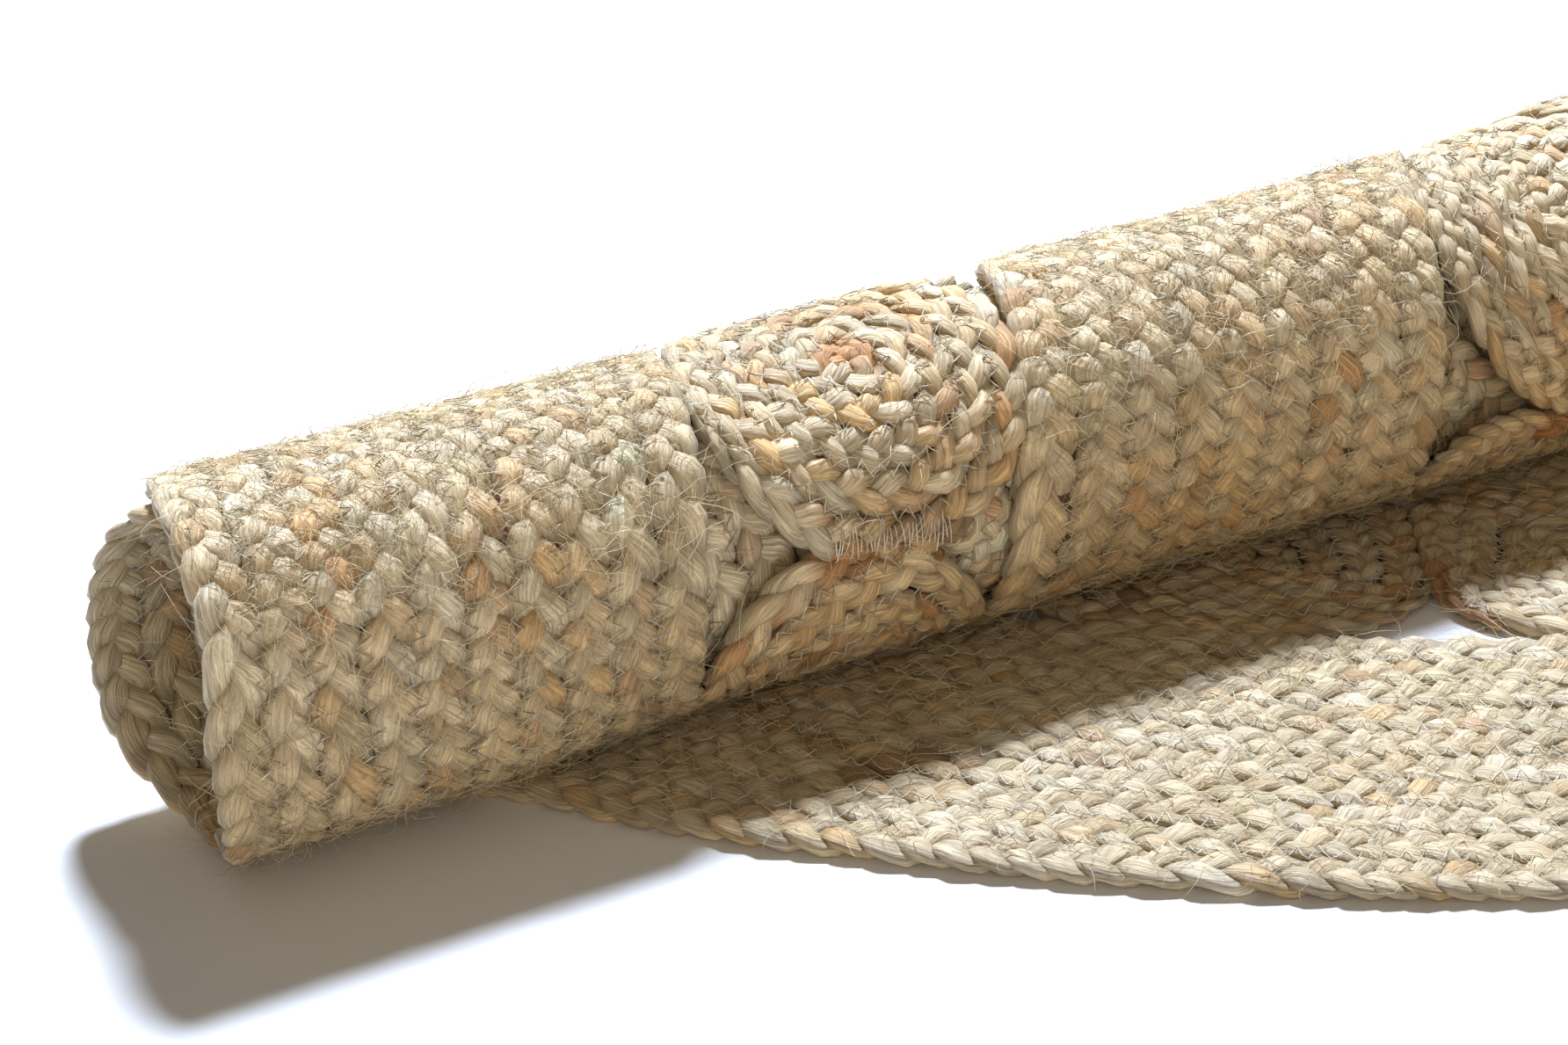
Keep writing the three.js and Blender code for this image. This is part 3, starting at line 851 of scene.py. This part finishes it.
def add_zigzag(tubes, seam, rng, reach, face):
    """Zigzag stitches along a seam, on the upper face (1) or the lower face (-1)."""
    along = along_line(seam)
    count = int(along[-1] / STITCH_STEP)
    if count < 3:
        return
    places = (np.arange(count) + STITCH_JITTER * (rng.random(count) - 0.5)) * STITCH_STEP
    middle = at(places, along, seam)
    side = course(middle)[1]
    reaches = reach * (REACH_LEAST + REACH_SPREAD * rng.random(count))
    reaches = reaches * np.where(np.arange(count) % 2, 1, -1)
    ends = middle + side * reaches[:, None]
    height = STITCH_HEIGHT * (HEIGHT_LEAST + HEIGHT_SPREAD * rng.random(count))
    height = height * (UPPER_STAND if face > 0 else LOWER_STAND)
    line = np.empty((2 * count - 1, 3))
    line[::2, :2], line[1::2, :2] = ends, (ends[1:] + ends[:-1]) / 2
    line[::2, 2], line[1::2, 2] = face * height * END_LEVEL, face * height[1:] * SEAM_LEVEL
    thick = np.full(len(line), THREAD_RADIUS)
    tubes.add(line, thick, thick)


def add_ladder(tubes, first, last, rng, face):
    """Straight stitches side by side, square to the line from first to last."""
    gap = last - first
    count = int(np.linalg.norm(gap) / LADDER_STEP)
    side = np.array([-gap[1], gap[0]]) / np.linalg.norm(gap)
    for share in (np.arange(count) + LADDER_JITTER * rng.random(count)) / count:
        middle = first + gap * share + side * rng.normal(0, LADDER_SCATTER)
        half = side * LADDER_REACH * rng.uniform(*LADDER_LENGTHS)
        half = half + gap * rng.normal(0, LADDER_LEAN)
        bend = half * LADDER_BEND
        flat = np.stack([middle - half, middle - bend, middle, middle + bend, middle + half])
        level = STITCH_HEIGHT * np.array(LADDER_LEVELS)
        line = np.concatenate([flat, (face * level)[:, None]], 1)
        thick = np.full(len(line), THREAD_RADIUS * LADDER_THICKENING)
        tubes.add(line, thick, thick)


def on_rug(azimuth, rho):
    return rho * np.array([math.cos(math.radians(azimuth)), math.sin(math.radians(azimuth))])


# ---- Loose fibres -------------------------------------------------------------------------


def add_fibres(tubes, coil, rng, count, face, seen):
    """Fibres that have worked loose and stand off one face of a plait."""
    tangent, side = course(coil.points)
    places = np.nonzero(seen(coil.points))[0]
    if not len(places):
        return
    t = np.linspace(0, 1, FIBRE_POINTS)
    for index in rng.choice(places, count):
        heading = rng.normal(0, FIBRE_HEADING) + (0 if rng.random() < 0.5 else math.pi)
        forward = tangent[index] * math.cos(heading) + side[index] * math.sin(heading)
        turned = np.array([-forward[1], forward[0]])
        long = FIBRE_LENGTH * min(LENGTH_LEAST + rng.exponential(LENGTH_SPREAD), LENGTH_MOST)
        bend = rng.normal(0, FIBRE_BEND) * t**2 + rng.normal(0, FIBRE_CURL) * np.sin(t * CURL_RATE)
        off = rng.uniform(-FIBRE_SCATTER, FIBRE_SCATTER)
        start = coil.points[index] + side[index] * coil.width * off
        flat = start + long * (t[:, None] * forward + bend[:, None] * turned)
        rise = FIBRE_RISE * min(rng.exponential(1.0), RISE_MOST)
        stand = THICKNESS * FIBRE_ROOT + rise * np.sin(t * rng.uniform(*FIBRE_ARCH))
        line = np.concatenate([flat, (face * stand)[:, None]], 1)
        thick = FIBRE_RADIUS * rng.uniform(*FIBRE_SIZES) * (1 - FIBRE_TAPER * t)
        tubes.add(line, thick, thick)


# ---- The pieces ---------------------------------------------------------------------------


def own_rng(number):
    return np.random.default_rng(FIRST_SEED + number)


def make_wound_ring(node, prefix, inner, plait, rounds, jog, start, dyes, seed):
    """A wide ring that is one plait wound round upon round; each round is a piece of its own."""
    source = own_rng(seed)
    coil = Coil(inner, plait, rounds, jog, math.radians(start), 1, source)
    wound = Plait(coil, dyes, source)
    edges = np.searchsorted(coil.u, np.arange(rounds + 1))
    edges[0], edges[-1] = 0, len(coil.u)
    for k in range(rounds):
        tubes = Tubes(squareness=STRAND_SQUARENESS)
        wound.add_to(tubes, slice(edges[k], min(edges[k + 1] + 1, len(coil.u))))
        piece = tubes.build(f"{prefix}_{k + 1:02d}", JUTE)
        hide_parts(node)
    make_core(f"{node}_core", coil)
    return coil


def make_rosette(node, ring_radius, depth, share, angle, seed):
    source = own_rng(seed)
    reach = depth - 3 * SEAM_GAP
    outline = rosette_outline(ring_radius, reach, share, PRESSED_CORNERS.get(node, ()))
    start = source.random() * 2 * math.pi
    way = 1 if source.random() < FORWARD_SHARE else -1
    if node in TIPS:
        start = math.radians(TIPS[node])
    coil = Coil(
        0, reach / 2 / ROSETTE_ROUNDS, ROSETTE_ROUNDS, ROSETTE_JOG, start, way, source,
        ring_radius, angle, outline, ROSETTE_PERIOD,
    )
    tubes = Tubes(lift=ROSETTE_LIFT, squareness=STRAND_SQUARENESS)
    tip = TIP_LENGTH if node in TIPS else 0.0
    Plait(coil, ROSETTE_DYES, source, HEARTS.get(node, 0.0), tip).add_to(tubes)
    piece = tubes.build(f"{node}_plait", JUTE)
    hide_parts(node)
    make_core(f"{node}_core", coil, ROSETTE_LIFT)
    return coil


def rosette_angle(start, share, i):
    """Rosettes are sewn in by eye, so their spacing drifts a little."""
    angle = math.radians(start) + i * share
    wave = math.cos(SPACING_WAVES * (angle - math.radians(SPACING_START)))
    return angle + math.radians(SPACING_DRIFT) * (1 - wave)


border = make_wound_ring(
    "border_coil", "border_round", BORDER_INNER, BORDER_PLAIT, BORDER_ROUNDS, BORDER_JOG,
    start=100, dyes=BORDER_DYES, seed=10,
)
band = make_wound_ring(
    "band_coil", "band_round", BAND_INNER, BAND_PLAIT, BAND_ROUNDS, BAND_JOG,
    start=80, dyes=BAND_DYES, seed=20,
)
centre = make_wound_ring(
    "centre_coil", "centre_round", 0, CENTRE_RADIUS / CENTRE_ROUNDS, CENTRE_ROUNDS, CENTRE_JOG,
    start=70, dyes=CENTRE_DYES, seed=30,
)

rosettes = []
for prefix, count, ring_radius, depth, start in (
    ("outer_rosette", OUTER_ROSETTES, BORDER_INNER - OUTER_DEPTH / 2, OUTER_DEPTH, OUTER_START),
    ("inner_rosette", INNER_ROSETTES, CENTRE_RADIUS + INNER_DEPTH / 2, INNER_DEPTH, INNER_START),
):
    share = 2 * math.pi / count
    for i in range(count):
        node, angle = f"{prefix}_{i + 1:02d}", rosette_angle(start, share, i)
        seed = ROSETTE_SEED + len(rosettes)
        rosettes.append(make_rosette(node, ring_radius, depth, share, angle, seed))


def lift_of(coils):
    return ROSETTE_LIFT if coils is rosettes else 0.0


# The lower face has a pale zigzag and a darker one, which is painted shade
THREADS = (("upper", 1, THREAD), ("lower", -1, SOFT_THREAD), ("lower_painted_shade", -1, PAINTED_SHADE_THREAD))
for name, coils, slot in (
    ("border_stitching", [border], "jute_border"),
    ("band_stitching", [band], "jute_band"),
    ("centre_stitching", [centre], "jute_centre"),
    ("rosette_stitching", rosettes, "jute_rosette"),
):
    source = own_rng(STITCH_SEED + len(name))
    for title, face, thread in THREADS:
        tubes = Tubes(sides=3, lift=lift_of(coils))
        for coil in coils:
            inside = (coil.u >= 0) & (coil.u < coil.turns - 1)
            add_zigzag(tubes, coil.seam[inside], source, coil.width * STITCH_REACH, face)
        tubes.build(f"{name}_{title}", thread)

mended = Tubes(sides=4, lift=ROSETTE_LIFT)
add_ladder(mended, on_rug(*MENDED_FROM), on_rug(*MENDED_TO), own_rng(MENDING_SEED), -1)
mended.build("mending_stitches", SOFT_THREAD)


# Where loose fibres can be seen: on the flat part, on the roll, and inside its ends.


def laid(points):
    return points[:, 1] + CENTRE_OFFSET < LAID_END


def outside(points):
    s = points[:, 1] + CENTRE_OFFSET
    return (s > OUTSIDE_START) & (s < FIRST_TURN)


def mouth(points):
    return (points[:, 1] + CENTRE_OFFSET > 0.0) & (np.abs(points[:, 0]) > MOUTH_PLACE)


FACES = (("laid", laid, 1), ("outside", outside, -1), ("mouth", mouth, 1))
for name, coils, counts in (
    ("border_fibres", [border], (5600, 6000, 3600)),
    ("band_fibres", [band], (3000, 4800, 0)),
    ("centre_fibres", [centre], (0, 900, 0)),
    ("rosette_fibres", rosettes, (130, 155, 0)),
    ("border_fuzz", [border], (4000, 4000, 0)),
    ("band_fuzz", [band], (0, 4000, 0)),
):
    source = own_rng(FIBRE_SEED + len(name))
    for (part, seen, face), count in zip(FACES, counts):
        if not count:
            continue
        tubes = Tubes(sides=3, lift=lift_of(coils))
        for coil in coils:
            add_fibres(tubes, coil, source, count, face, seen)
        tubes.build(f"{name}_{part}", FIBRE)
